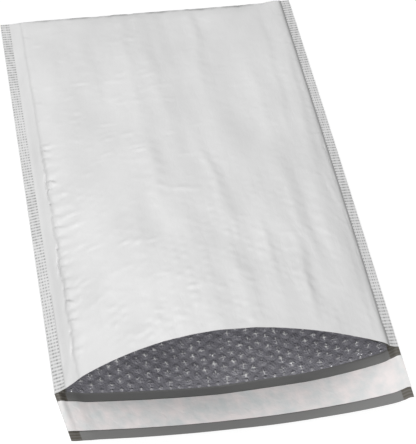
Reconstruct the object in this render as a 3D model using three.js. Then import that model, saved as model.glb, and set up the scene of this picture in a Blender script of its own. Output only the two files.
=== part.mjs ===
// Padded mailing envelope lying on its back with its mouth open.
// One web of plastic film is folded at the closed end and welded along both sides.
// A web of air-bubble film lines it, and an uncovered flap runs on from the back wall.
// Along the flap lie a stripe of adhesive and the paper strip that covers it.
// Millimetres, +Z up. The mouth faces -Y and the closed end faces +Y.

import * as THREE from 'three';

// The flat bag: outer size, side welds and closed end
const bagWidth = 362;
const bagLength = 508;
const crimpWidth = 11;
const leftPlainWeld = 13;
const rightPlainWeld = 4;
const filmThickness = 0.5;
const layerGap = 0.3;

// Air-bubble film inside the bag
const liningThickness = 3.5;
const liningInset = 1.5;
const pocketClearance = 0.8;

// Flap, adhesive and the strip that covers it, as distances from the mouth line
const flapLength = 51;
const stripStart = 9;
const stripWidth = 32;
const adhesiveWidth = 18;
const adhesiveThickness = 0.3;
const stripThickness = 0.25;
const stripWave = 0.8;

// How the mouth stands open: the side welds rise, the back sags and the front arches
const mouthChord = 342;
const mouthShift = -4;
const leftWeldHeight = 41;
const rightWeldHeight = 34;
const frontRise = 50;
const frontLean = -0.34;
const frontSetback = 18;
const backSag = 34;
const backLean = 0.36;
const backSettle = 11;
const weldTilt = 0.85;
const wallSpread = 8.5;
const mouthPart = 1.5;
const partingLength = 30;
const leftSway = 1.8;
const rightSway = -1;

// The free edge of the flap, which curls up at both ends
const flapChord = 337;
const flapShift = 3;
const flapLeftHeight = 46;
const flapRightHeight = 20;
const flapSag = 23;
const flapLean = 0.14;
const flapSteepest = 0.8;

// Gathers beside the welds and soft swells over the front wall
const gatherDepth = 3.2;
const gatherReach = 30;
const leftGatherPitch = 45;
const rightGatherPitch = 62;
const swellHeight = 2.6;
const swellWidth = 118;
const swellLength = 170;
const mouthFade = [0.03, 0.25];
const endFade = [0.025, 0.17];

// How finely the surfaces are divided
const middleColumns = 10;
const lengthStep = 15;
const noseSteps = 3;
const padShoulder = 6;
const creaseStep = 0.3;
const spreadStep = 0.6;
const leastStep = 1;

// Sizes that follow from the driving ones
const wallThickness = filmThickness + layerGap + liningThickness;
const noseRadius = wallThickness + pocketClearance / 2;
const crimpEdge = 1 - (2 * crimpWidth) / bagWidth;
const adhesiveStart = stripStart + (stripWidth - adhesiveWidth) / 2;
const adhesiveEnd = adhesiveStart + adhesiveWidth;
const stripEnd = stripStart + stripWidth;

const mix = THREE.MathUtils.lerp;
const ease = (x, from, to) => THREE.MathUtils.smoothstep(x, from, to);
const bow = (u, lean) => (1 - u * u) * (1 + lean * u);
const between = (u, left, right) => mix(left, right, (1 + u) / 2);

// Distance from the bag's outer edge to a place u, which runs from -1 to 1 across the bag
const edgeDistance = (u) => ((1 - Math.abs(u)) * bagWidth) / 2;

// Width of the whole side weld, crimped and plain, on the side of a place u
const sealWidth = (u) => crimpWidth + (u < 0 ? leftPlainWeld : rightPlainWeld);

// Distance from the edge at which the walls part: close to it at the mouth, then past the crimp
function partingEdge(v) {
  const opened = Math.max(0, 1 - (v * bagLength) / partingLength);
  return mix(crimpWidth, mouthPart, opened * opened);
}

// Thickness of film, gap and lining in one wall, which thins towards the weld
function wallDepth(u) {
  const edge = edgeDistance(u);
  const seal = sealWidth(u);
  const ramp = THREE.MathUtils.clamp((edge - crimpWidth) / (seal - crimpWidth), 0, 1);
  const shoulder = ease(edge, seal - padShoulder, seal + padShoulder);
  return filmThickness + (wallThickness - filmThickness) * mix(shoulder, ramp, creaseStep);
}

// Height of the welds' own line over the table, from the mouth (v = 0) to the closed end
function weldLine(u, v) {
  const rise = between(u, leftWeldHeight, rightWeldHeight) - wallThickness;
  return wallThickness + rise * (1 - v) ** 1.5;
}

// Share of gathers and swells that is left towards the mouth and the closed end
const fade = (v) => ease(v, ...mouthFade) * ease(1 - v, ...endFade);

// Gathers: pleats that run in from the welds and die out towards the middle
function gather(u, v) {
  const inward = Math.max(0, edgeDistance(u) - sealWidth(u)) / gatherReach;
  const pitch = u < 0 ? leftGatherPitch : rightGatherPitch;
  const beat = 0.5 + 0.5 * Math.sin((2 * Math.PI * v * bagLength) / pitch + u);
  return gatherDepth * beat * fade(v) * inward * Math.exp(1 - inward - inward * inward / 4);
}

// Swells: long soft waves in the middle of the front wall
function swell(u, v) {
  const sideways = Math.cos((Math.PI * u * bagWidth) / swellWidth + 3 * v);
  const lengthways = Math.sin((2 * Math.PI * v * bagLength) / swellLength + 2 * u);
  return swellHeight * fade(v) * (1 - u * u) * (0.5 + 0.25 * (sideways + lengthways));
}

// A point of the bag's outer face, on its front or its back wall
function bagPoint(u, v, wall) {
  const open = 1 - v;
  const chord = mix(bagWidth, mouthChord, open * open);
  const sway = (u < 0 ? leftSway : rightSway) * Math.abs(u) * 4 * v * open;
  const x = mouthShift * open * open + (u * chord) / 2 + sway;

  const parting = partingEdge(v);
  const parted = ease(edgeDistance(u), parting, parting + wallSpread);
  const weld = weldLine(u, v);
  const rise = frontRise * open * bow(u, frontLean);
  const band = weld + rise * weldTilt;
  if (wall === 'front') {
    const free = weld + rise + wallDepth(u) + pocketClearance * parted + gather(u, v) + swell(u, v);
    const setback = frontSetback * Math.max(0, crimpEdge * crimpEdge - u * u) * open * open;
    return new THREE.Vector3(x, v * bagLength + setback, mix(band + filmThickness, free, parted));
  }
  const sag = backSag * open ** 1.5 + backSettle * 4 * v * open;
  const free = Math.max(0, weld - sag * bow(u, backLean) - wallDepth(u));
  return new THREE.Vector3(x, v * bagLength, mix(band - filmThickness, free, parted));
}

// A point of the flap's underside, at a distance from the mouth line
function flapPoint(u, distance) {
  const root = bagPoint(u, 0, 'back');
  const curl = between(u, flapLeftHeight, flapRightHeight) - flapSag * bow(u, flapLean);
  const tip = new THREE.Vector3(flapShift + (u * flapChord) / 2, 0, Math.max(0, curl));
  const steepest = flapSteepest * flapLength;
  const drop = THREE.MathUtils.clamp(tip.z - root.z, -steepest, steepest);
  tip.y = -Math.sqrt(flapLength * flapLength - drop * drop);
  return root.lerp(tip, distance / flapLength);
}

// A closed surface that is built up from rows of points, each row running along +X
class Skin {
  constructor() {
    this.points = [];
    this.triangles = [];
  }

  row(points) {
    return points.map((point) => this.points.push(point) - 1);
  }

  triangle(a, b, c) {
    if (a !== b && b !== c && c !== a) this.triangles.push(a, b, c);
  }

  // Faces between a row and the next one on, seen from above and from below.
  // Both split each four-sided face along the same diagonal, so that layers nest.
  upward(row, next) {
    for (let i = 0; i + 1 < row.length; i += 1) {
      this.triangle(row[i], row[i + 1], next[i + 1]);
      this.triangle(row[i], next[i + 1], next[i]);
    }
  }

  downward(row, next) {
    for (let i = 0; i + 1 < row.length; i += 1) {
      this.triangle(row[i], next[i + 1], row[i + 1]);
      this.triangle(row[i], next[i], next[i + 1]);
    }
  }

  // A fan of faces over a small outline, counter-clockwise as seen from outside
  fan(outline) {
    for (let i = 1; i + 1 < outline.length; i += 1) {
      this.triangle(outline[0], outline[i], outline[i + 1]);
    }
  }

  geometry() {
    const geometry = new THREE.BufferGeometry().setFromPoints(this.points);
    geometry.setIndex(this.triangles);
    geometry.computeVertexNormals();
    return geometry;
  }
}

const pairs = (rows) => rows.slice(1).map((next, i) => [rows[i], next]);
const column = (rows, i) => rows.map((row) => row.at(i));
const lift = (point, height) => new THREE.Vector3(point.x, point.y, point.z + height);

// Places across the bag at v, from the left edge to the right, each weld's steps included
const spreadEnd = crimpWidth + wallSpread;
const padSteps = [sealWidth(-1), sealWidth(-1) + padShoulder].filter((edge) => edge > spreadEnd + leastStep);
const fixedSteps = [crimpWidth + spreadStep * wallSpread, spreadEnd, ...padSteps];
function across(v) {
  const left = [0, partingEdge(v), ...fixedSteps].map((edge) => (2 * edge) / bagWidth - 1);
  const right = left.map((u) => -u).reverse();
  const middle = Array.from({ length: middleColumns - 1 }, (_, i) =>
    mix(left.at(-1), right[0], (i + 1) / middleColumns));
  return [...left, ...middle, ...right];
}

// Which of those places the inner layers start from: film, lining and pocket
const filmColumn = 1;
const liningColumn = 2;
const pocketColumn = 3;
const inside = (row, start) => row.slice(start, row.length - start);

// Places along the bag, from the mouth to where the closed end begins to round over
const roundStart = bagLength - noseRadius;
const lengthSteps = Math.round((roundStart - liningInset) / lengthStep);
const along = [0, ...Array.from({ length: lengthSteps + 1 }, (_, i) =>
  mix(liningInset, roundStart, i / lengthSteps) / bagLength)];

// One row of a wall, sunk into the bag by a depth that may differ from place to place
function wallRow(v, wall, start, depthAt) {
  const inward = wall === 'front' ? -1 : 1;
  return inside(across(v), start).map((u) => lift(bagPoint(u, v, wall), inward * depthAt(u)));
}

// Rows that round the closed end over, for a layer that lies a depth below the outer face
function noseRows(wall, start, depth) {
  const v = along.at(-1);
  const fronts = wallRow(v, 'front', start, () => depth);
  const backs = wallRow(v, 'back', start, () => depth);
  return Array.from({ length: noseSteps }, (_, step) => {
    const angle = ((step + 1) / noseSteps) * (Math.PI / 2);
    return fronts.map((front, i) => {
      const middle = front.clone().lerp(backs[i], 0.5);
      const edge = wall === 'front' ? front : backs[i];
      const point = middle.lerp(edge, step + 1 < noseSteps ? Math.cos(angle) : 0);
      point.y += (noseRadius - depth) * Math.sin(angle);
      return point;
    });
  });
}

// Rows of one layer's front and back, joined in a shared last row at the closed end
function foldedLayer(skin, places, start, depth) {
  const depthAt = () => depth;
  const front = places.map((v) => skin.row(wallRow(v, 'front', start, depthAt)));
  const back = places.map((v) => skin.row(wallRow(v, 'back', start, depthAt)));
  const frontNose = noseRows('front', start, depth).map((points) => skin.row(points));
  const backNose = noseRows('back', start, depth).slice(0, -1).map((points) => skin.row(points));
  return { front: [...front, ...frontNose], back: [...back, ...backNose, frontNose.at(-1)] };
}

const flapRows = [0, stripStart, adhesiveStart, adhesiveEnd, stripEnd, flapLength];

// The folded film: outer face, inner face, welded sides, mouth edge and flap
function makeOuterFilm() {
  const skin = new Skin();
  const outer = foldedLayer(skin, along, 0, 0);
  const inner = foldedLayer(skin, along, filmColumn, filmThickness);
  inner.front.forEach((row, j) => {
    row[0] = inner.back[j][0];
    row[row.length - 1] = inner.back[j].at(-1);
  });
  pairs(outer.front).forEach(([row, next]) => skin.upward(row, next));
  pairs(outer.back).forEach(([row, next]) => skin.downward(row, next));
  pairs(inner.front).forEach(([row, next]) => skin.downward(row, next));
  pairs(inner.back).forEach(([row, next]) => skin.upward(row, next));

  // Cut edges of the side welds, in two halves that meet on the weld's middle plane
  const half = (i) => outer.back.map((row, j) =>
    skin.points[row.at(i)].clone().lerp(skin.points[outer.front[j].at(i)], 0.5));
  const leftMiddle = skin.row(half(0));
  const rightMiddle = skin.row(half(-1));
  leftMiddle[leftMiddle.length - 1] = outer.front.at(-1)[0];
  rightMiddle[rightMiddle.length - 1] = outer.front.at(-1).at(-1);
  skin.downward(column(outer.back, 0), leftMiddle);
  skin.downward(leftMiddle, column(outer.front, 0));
  skin.upward(column(outer.back, -1), rightMiddle);
  skin.upward(rightMiddle, column(outer.front, -1));

  // The flap runs on from the back wall, and its top face from the inner face
  const under = [outer.back[0]];
  const top = [[leftMiddle[0], ...inner.back[0], rightMiddle[0]]];
  flapRows.slice(1).forEach((distance) => {
    under.push(skin.row(across(0).map((u) => flapPoint(u, distance))));
    top.push(skin.row(across(0).map((u) => lift(flapPoint(u, distance), filmThickness))));
  });
  pairs(top).forEach(([row, next]) => skin.upward(next, row));
  pairs(under).forEach(([row, next]) => skin.downward(next, row));
  skin.upward(column(under, 0), column(top, 0));
  skin.downward(column(under, -1), column(top, -1));
  skin.upward(under.at(-1), top.at(-1));

  // Cut edge of the front wall at the mouth
  skin.upward([leftMiddle[0], ...inner.front[0], rightMiddle[0]], outer.front[0]);
  return skin.geometry();
}

// The bubble film: a flattened pouch of its own, welded at the sides and open at the mouth
function makeBubbleLining() {
  const skin = new Skin();
  const places = along.slice(1);
  const outer = foldedLayer(skin, places, liningColumn, filmThickness + layerGap);
  const pocketRows = (wall) => places.map((v) => skin.row(wallRow(v, wall, pocketColumn, wallDepth)));
  const pocketFront = pocketRows('front');
  const pocketBack = pocketRows('back');
  pairs(outer.front).forEach(([row, next]) => skin.upward(row, next));
  pairs(outer.back).forEach(([row, next]) => skin.downward(row, next));
  pairs(pocketFront).forEach(([row, next]) => skin.downward(row, next));
  pairs(pocketBack).forEach(([row, next]) => skin.upward(row, next));

  skin.downward(column(outer.back, 0), column(outer.front, 0));
  skin.upward(column(outer.back, -1), column(outer.front, -1));
  skin.upward(column(pocketBack, 0), column(pocketFront, 0));
  skin.downward(column(pocketBack, -1), column(pocketFront, -1));
  skin.upward(pocketBack.at(-1), pocketFront.at(-1));

  // Cut edge at the mouth: front, back and the two welded corners
  const shared = pocketColumn - liningColumn;
  const front = outer.front[0];
  const back = outer.back[0];
  skin.upward(pocketFront[0], inside(front, shared));
  skin.upward(inside(back, shared), pocketBack[0]);
  skin.fan([back[0], back[1], pocketBack[0][0], pocketFront[0][0], front[1], front[0]]);
  skin.fan([back.at(-1), front.at(-1), front.at(-2), pocketFront[0].at(-1), pocketBack[0].at(-1), back.at(-2)]);
  return skin.geometry();
}

// A thin layer that lies on the flap between two of its rows
function makeFlapLayer(distances, start, height, thickness, waveAt) {
  const skin = new Skin();
  const level = (rise) => distances.map((distance) => skin.row(inside(across(0), start).map((u) =>
    lift(flapPoint(u, distance), filmThickness + rise + waveAt(u)))));
  const under = level(height);
  const top = level(height + thickness);
  pairs(top).forEach(([row, next]) => skin.upward(next, row));
  pairs(under).forEach(([row, next]) => skin.downward(next, row));
  skin.upward(column(under, 0), column(top, 0));
  skin.downward(column(under, -1), column(top, -1));
  skin.upward(under.at(-1), top.at(-1));
  skin.downward(under[0], top[0]);
  return skin.geometry();
}

function makeAdhesiveStrip() {
  return makeFlapLayer([adhesiveStart, adhesiveEnd], liningColumn, layerGap, adhesiveThickness, () => 0);
}

// The covering strip is as long as the flap is wide and has let go a little here and there
function makeReleaseLiner() {
  const height = layerGap + adhesiveThickness + layerGap;
  const wave = (u) => stripWave * Math.sin(7 * u + 1) ** 2;
  return makeFlapLayer([stripStart, adhesiveStart, adhesiveEnd, stripEnd], 0, height, stripThickness, wave);
}

const subParts = [
  ['outer_film', makeOuterFilm(), { color: '#e8e9e9', roughness: 0.42 }],
  ['bubble_lining', makeBubbleLining(), { color: '#6a6970', roughness: 0.3 }],
  ['adhesive_strip', makeAdhesiveStrip(), { color: '#d9d0b4', roughness: 0.35 }],
  ['release_liner', makeReleaseLiner(), { color: '#e4e1e0', roughness: 0.5 }],
];

const envelope = new THREE.Group();
subParts.forEach(([name, geometry, finish]) => {
  const mesh = new THREE.Mesh(geometry, new THREE.MeshStandardMaterial({ ...finish, metalness: 0 }));
  mesh.name = name;
  envelope.add(mesh);
});

// The origin is on the table, under the middle of the whole piece
const extent = new THREE.Box3().setFromObject(envelope);
const centre = extent.getCenter(new THREE.Vector3());
envelope.position.set(-centre.x, -centre.y, -extent.min.z);

export default envelope;
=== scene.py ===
"""Padded mailing envelope that lies on a pale table with its mouth open.

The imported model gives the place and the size. This script dresses it: the folded
film web with its gathers, the knurled side welds, the air-bubble lining, the flap
and the crinkled strip that covers its adhesive. Shapes are worked out in
millimetres with the origin on the middle of the mouth line, and are moved into the
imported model's frame, in metres, when a mesh is made. In the formulas u runs from
-1 at the bag's left edge to 1 at its right, and v from 0 at the mouth to 1 at the
closed end.
"""

import logging
import math
from collections.abc import Iterator
from dataclasses import dataclass, replace
from enum import Enum
from functools import cache

import bpy
import numpy as np
from mathutils import Matrix, Vector


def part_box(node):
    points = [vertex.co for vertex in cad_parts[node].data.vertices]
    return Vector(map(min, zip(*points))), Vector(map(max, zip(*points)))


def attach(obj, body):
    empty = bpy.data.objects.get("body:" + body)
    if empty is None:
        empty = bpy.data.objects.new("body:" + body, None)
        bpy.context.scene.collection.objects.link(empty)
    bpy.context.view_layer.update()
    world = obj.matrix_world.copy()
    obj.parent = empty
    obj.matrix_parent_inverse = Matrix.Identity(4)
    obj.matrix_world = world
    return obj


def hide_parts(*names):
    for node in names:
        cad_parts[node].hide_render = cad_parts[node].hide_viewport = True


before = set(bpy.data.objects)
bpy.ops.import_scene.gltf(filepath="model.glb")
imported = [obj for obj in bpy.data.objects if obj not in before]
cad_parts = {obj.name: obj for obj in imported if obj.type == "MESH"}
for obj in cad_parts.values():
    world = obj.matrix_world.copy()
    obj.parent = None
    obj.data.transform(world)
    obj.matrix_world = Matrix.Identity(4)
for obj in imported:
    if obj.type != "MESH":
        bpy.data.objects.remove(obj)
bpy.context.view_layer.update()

LOG = logging.getLogger("padded_envelope")
MM = 0.001
BODY = "root"
FLAT_MAP = "flat_film"
# Point attribute with the depth of a weld's print; on the front film it mostly holds painted shade.
PRESS_AND_SHADE = "press_and_shade"
RIB_PITCH = 3.0
SHARP_RIM = math.radians(62)
Array = np.ndarray
Span = tuple[float, float]
Piece = bpy.types.Object
Tree = bpy.types.NodeTree
Socket = bpy.types.NodeSocket


def smooth(x: Array, start: float, stop: float) -> Array:
    """Rise from 0 at start to 1 at stop, as 3 t squared less 2 t cubed.

    Args:
        x: Values to map.
        start: Where the rise begins.
        stop: Where it ends.

    Returns:
        Shares from 0 to 1, one for each value.
    """
    t = np.clip((x - start) / (stop - start), 0.0, 1.0)
    return t * t * (3.0 - 2.0 * t)


def hump(x: Array, width: float | Array) -> Array:
    """Bell curve, e to the power of minus (x / width) squared."""
    return np.exp(-((x / width) ** 2))


def between(ends: Span, u: Array) -> Array:
    """Value that goes evenly from the left end's to the right end's."""
    left, right = ends
    return left + (right - left) * (1 + u) / 2


def unit(vectors: Array) -> Array:
    """Vectors of length 1 in the same directions."""
    return vectors / np.linalg.norm(vectors, axis=1, keepdims=True)


def linear(code: str) -> tuple[float, float, float, float]:
    """Turn an sRGB hex code into the linear colour that a shader takes.

    Args:
        code: Six hex digits after a hash sign.

    Returns:
        Red, green, blue and full alpha.
    """
    values = [int(code[i : i + 2], 16) / 255 for i in (1, 3, 5)]
    return (*[v / 12.92 if v <= 0.04045 else ((v + 0.055) / 1.055) ** 2.4 for v in values], 1.0)


def add_node(tree: Tree, kind: str, inputs: dict, **settings) -> bpy.types.Node:
    """Add a shader node with its settings, its constants and its links.

    Args:
        tree: Node tree that takes the node.
        kind: Blender's name for the node type.
        inputs: Socket name or number, to a constant or to the output that feeds it.
        **settings: Properties of the node itself.

    Returns:
        The new node.
    """
    node = tree.nodes.new(kind)
    for name, value in settings.items():
        setattr(node, name, value)
    for key, value in inputs.items():
        if isinstance(value, Socket):
            tree.links.new(value, node.inputs[key])
        else:
            node.inputs[key].default_value = value
    return node


def calc(tree: Tree, operation: str, *values: Socket | float) -> Socket:
    """Result of a maths node for one to three sockets or constants."""
    inputs = dict(enumerate(values))
    return add_node(tree, "ShaderNodeMath", inputs, operation=operation).outputs[0]


def blend(tree: Tree, share: Socket, first: Socket | tuple, second: tuple) -> Socket:
    """Colour that goes from the first to the second as the share goes from 0 to 1."""
    inputs = {0: share, 6: first, 7: second}
    return add_node(tree, "ShaderNodeMix", inputs, data_type="RGBA").outputs[2]


def noise(tree: Tree, spot: Socket, size: float, **more: float) -> bpy.types.Node:
    """Noise node with patches of about a size in millimetres."""
    inputs = {"Vector": spot, "Scale": 1 / MM / size, **more}
    return add_node(tree, "ShaderNodeTexNoise", inputs)


def ramp(tree: Tree, value: Socket, span: Span, ends: Span = (0.0, 1.0), **settings) -> Socket:
    """Value that goes from one end to the other while the input crosses a span."""
    inputs = {"Value": value, "From Min": span[0], "From Max": span[1]}
    inputs |= {"To Min": ends[0], "To Max": ends[1]}
    return add_node(tree, "ShaderNodeMapRange", inputs, **settings).outputs[0]


def bump(tree: Tree, height: Socket, depth: float, under: Socket | None = None) -> Socket:
    """Normal of a relief of a depth in millimetres, laid over the one under it."""
    inputs = {"Height": height, "Strength": 1.0, "Distance": depth * MM}
    if under is not None:
        inputs["Normal"] = under
    return add_node(tree, "ShaderNodeBump", inputs).outputs["Normal"]


def new_material(name: str) -> tuple[bpy.types.Material, Tree]:
    """Make an empty node material.

    Args:
        name: Name of the real material or process.

    Returns:
        The material and its node tree.
    """
    made = bpy.data.materials.new(name)
    made.use_nodes = True
    made.node_tree.nodes.clear()
    return made, made.node_tree


def link(name: str, data: bpy.types.ID) -> Piece:
    """Make an object of some data and put it into the scene."""
    made = bpy.data.objects.new(name, data)
    bpy.context.scene.collection.objects.link(made)
    return made


class Wall(Enum):
    """The two walls of the bag, as the side on which each one lies."""

    FRONT = 1
    BACK = -1


class Side(Enum):
    """The two welds, as the sign of their place across the bag."""

    LEFT = -1
    RIGHT = 1


class Role(Enum):
    """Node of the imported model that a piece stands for, and its material slot."""

    FILM = ("outer_film", "outer_film")
    LINING = ("bubble_lining", "bubble_film")
    ADHESIVE = ("adhesive_strip", "hot_melt_adhesive")
    COVER = ("release_liner", "silicone_liner")


@dataclass(frozen=True)
class BagForm:
    """The form of the open bag: the solid model's sizes and formulas, in thinner film."""

    width: float = 362.0
    length: float = 508.0
    crimp: float = 11.0
    plain_welds: Span = (13.0, 4.0)
    film: float = 0.3
    wall: float = 4.3
    clearance: float = 0.8
    shoulder: float = 6.0
    crease_step: float = 0.3
    flap: float = 51.0
    mouth_chord: float = 342.0
    mouth_shift: float = -4.0
    weld_heights: Span = (41.0, 34.0)
    front_rise: float = 50.0
    front_lean: float = -0.34
    front_setback: float = 18.0
    back_sag: float = 34.0
    back_lean: float = 0.36
    back_settle: float = 11.0
    weld_tilt: float = 0.85
    spread: float = 8.5
    mouth_part: float = 1.5
    parting_length: float = 30.0
    sway: Span = (1.8, -1.0)
    flap_chord: float = 337.0
    flap_shift: float = 3.0
    flap_heights: Span = (46.0, 20.0)
    flap_sag: float = 23.0
    flap_lean: float = 0.14
    flap_steepest: float = 0.8
    swell_height: float = 2.6
    swell_width: float = 118.0
    swell_length: float = 170.0
    mouth_fade: Span = (0.03, 0.25)
    end_fade: Span = (0.025, 0.17)

    @property
    def nose_radius(self) -> float:
        """Radius of the fold at the closed end."""
        return self.wall + self.clearance / 2

    @property
    def nose_start(self) -> float:
        """Share of the length at which the closed end begins to round over."""
        return 1 - self.nose_radius / self.length

    def edge(self, u: Array) -> Array:
        """Distance from the bag's outer edge, (1 less |u|) times half the width."""
        return (1 - np.abs(u)) * self.width / 2

    def bow(self, u: Array, lean: float) -> Array:
        """Arch over the width, (1 less u squared) times (1 plus lean times u)."""
        return (1 - u * u) * (1 + lean * u)

    def seal(self, u: Array) -> Array:
        """Width of the whole side weld, crimped and plain, on the side of each place."""
        return self.crimp + np.where(u < 0, *self.plain_welds)

    def parting(self, v: Array) -> Array:
        """Distance from the edge at which the walls part, less and less to the mouth."""
        opened = np.maximum(0, 1 - v * self.length / self.parting_length)
        return self.crimp + (self.mouth_part - self.crimp) * opened**2

    def wall_depth(self, u: Array) -> Array:
        """Thickness of one wall: film at the weld, film and lining past its shoulder."""
        edge, seal = self.edge(u), self.seal(u)
        slope = np.clip((edge - self.crimp) / (seal - self.crimp), 0, 1)
        rise = smooth(edge - seal, -self.shoulder, self.shoulder)
        share = rise + (slope - rise) * self.crease_step
        return self.film + (self.wall - self.film) * share

    def weld_line(self, u: Array, v: Array) -> Array:
        """Height of the welds' own line, which falls as (1 less v) to the power 1.5."""
        return self.wall + (between(self.weld_heights, u) - self.wall) * (1 - v) ** 1.5

    def swell(self, u: Array, v: Array) -> Array:
        """Long soft waves: a cosine across plus a sine along, faded at the edges."""
        across = np.cos(np.pi * u * self.width / self.swell_width + 3 * v)
        along = np.sin(2 * np.pi * v * self.length / self.swell_length + 2 * u)
        ends = smooth(v, *self.mouth_fade) * smooth(1 - v, *self.end_fade) * (1 - u * u)
        return self.swell_height * ends * (0.5 + 0.25 * (across + along))

    def point(self, u: Array, v: Array, wall: Wall, relief: Array | float = 0.0) -> Array:
        """Points of the bag's outer face.

        The weld's line carries both walls. The front adds an arch, (1 - v) times the
        bow, and its thickness; the back takes off a sag, (1 - v) to the power 1.5
        times the bow. Next to the crimp both blend into one band.

        Args:
            u: Place across, -1 at the left edge to 1 at the right.
            v: Place along, 0 at the mouth to 1 at the closed end.
            wall: Front or back.
            relief: Height of the film's own folds, added where the walls part.

        Returns:
            An array of points, in millimetres.
        """
        is_open = 1 - v
        chord = self.width + (self.mouth_chord - self.width) * is_open**2
        sway = np.where(u < 0, *self.sway) * np.abs(u) * 4 * v * is_open
        x = self.mouth_shift * is_open**2 + u * chord / 2 + sway
        parted = smooth(self.edge(u) - self.parting(v), 0, self.spread)
        weld = self.weld_line(u, v)
        rise = self.front_rise * is_open * self.bow(u, self.front_lean)
        band = weld + rise * self.weld_tilt
        if wall is Wall.FRONT:
            inset = 1 - 2 * self.crimp / self.width
            free = weld + rise + self.wall_depth(u) + self.clearance * parted
            free = free + self.swell(u, v) + relief
            setback = self.front_setback * np.maximum(0, inset**2 - u * u) * is_open**2
            z = (band + self.film) * (1 - parted) + free * parted
            return np.stack([x, v * self.length + setback, z], -1)
        sag = self.back_sag * is_open**1.5 + self.back_settle * 4 * v * is_open
        free = np.maximum(0, weld - sag * self.bow(u, self.back_lean) - self.wall_depth(u))
        z = (band - self.film) * (1 - parted) + (free + relief) * parted
        return np.stack([x, v * self.length + 0 * u, z], -1)

    def flap_point(self, u: Array, distance: Array) -> Array:
        """Points of the flap's underside.

        A straight line runs from the mouth line to the free edge, whose height is a
        slope from end to end less a sag, and whose reach keeps the flap's length.

        Args:
            u: Place across, -1 to 1.
            distance: Distance from the mouth line.

        Returns:
            An array of points, in millimetres.
        """
        root = self.point(u, 0 * u, Wall.BACK)
        curl = between(self.flap_heights, u) - self.flap_sag * self.bow(u, self.flap_lean)
        height = np.maximum(0, curl)
        limit = self.flap_steepest * self.flap
        drop = np.clip(height - root[..., 2], -limit, limit)
        reach = -np.sqrt(self.flap**2 - drop**2)
        tip = np.stack([self.flap_shift + u * self.flap_chord / 2, reach, height], -1)
        return root + (tip - root) * (distance / self.flap)[..., None]

    def nose(self, front: Array, back: Array, angles: Array, depth: float) -> Array:
        """Rows round the closed end, from the end of one wall to that of the other.

        A row is the middle plus half the gap times the cosine of its angle, and it
        reaches out by the fold's radius times the sine.

        Args:
            front: Last row of the front wall.
            back: Last row of the back wall.
            angles: Angle of each row, 0 at the front wall and pi at the back wall.
            depth: How far the rows lie below the outer face.

        Returns:
            Rows of points, in millimetres.
        """
        middle, half = (front + back) / 2, (front - back) / 2
        rows = middle + half * np.cos(angles)[:, None, None]
        rows[..., 1] += (self.nose_radius - depth) * np.sin(angles)[:, None]
        return rows

    def flat_place(self, u: Array, along: Array) -> Array:
        """Place of each point on the flat film, in metres from its left edge."""
        return np.stack([(u + 1) * self.width / 2, along], -1) * MM


@dataclass(frozen=True)
class Pleats:
    """Short gathers that run in from one weld, each a ridge with a valley beside it."""

    side: Side
    seed: int
    first: float
    last: float
    spacing: Span
    reach: Span
    height: Span
    width: Span = (2.6, 4.2)
    lobe: float = 0.0
    lobe_reach: float = 4.5
    skew: Span = (-0.45, 0.16)
    hook: Span = (0.0, 0.02)
    most: int = 200

    def relief(self, u: Array, inward: Array, along: Array) -> Array:
        """Height of the gathers.

        Inwards each one grows and dies out as a times e to the (1 - a), and along the
        weld it is a bell curve less a narrow one a little further on. Between two of
        them the pad swells into a lobe, a squared sine along the weld.

        Args:
            u: Place across, -1 to 1.
            inward: Distance from the weld's inner edge.
            along: Distance from the mouth line.

        Returns:
            Heights, one for each place.
        """
        rng = np.random.default_rng(self.seed)
        places = self.first + np.cumsum(rng.uniform(*self.spacing, self.most))
        places = places[places < self.last]
        count = len(places)
        reach, height, width = (
            rng.uniform(*span, count) for span in (self.reach, self.height, self.width)
        )
        skew, hook = (rng.normal(*spread, count) for spread in (self.skew, self.hook))
        inward = np.maximum(0, inward + 1)
        phase = np.interp(along, places, np.arange(count)) % 1.0
        a = inward / self.lobe_reach
        total = self.lobe * np.sin(np.pi * phase) ** 2 * a * np.exp(1 - a)
        for k in range(count):
            a = inward / (0.2 * reach[k])
            q = along - places[k] - inward * (skew[k] + hook[k] * inward)
            beat = hump(q, width[k]) - 0.8 * hump(q - 1.4 * width[k], 0.8 * width[k])
            total += height[k] * a * np.exp(1 - a) * beat
        return total * (u * self.side.value > 0)


@dataclass(frozen=True)
class Scatter:
    """Ranges, in millimetres, from which folds in random places are drawn."""

    seed: int
    count: int
    across: Span
    along: Span
    reach: Span
    width: Span
    height: Span
    slant: float

    def draw(self) -> Iterator[tuple[float, ...]]:
        """Each fold's place across and along, reach, width, height and slant."""
        rng = np.random.default_rng(self.seed)
        spans = (self.across, self.along, self.reach, self.width, self.height)
        for _ in range(self.count):
            yield *(rng.uniform(*span) for span in spans), rng.normal(0, self.slant)


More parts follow.
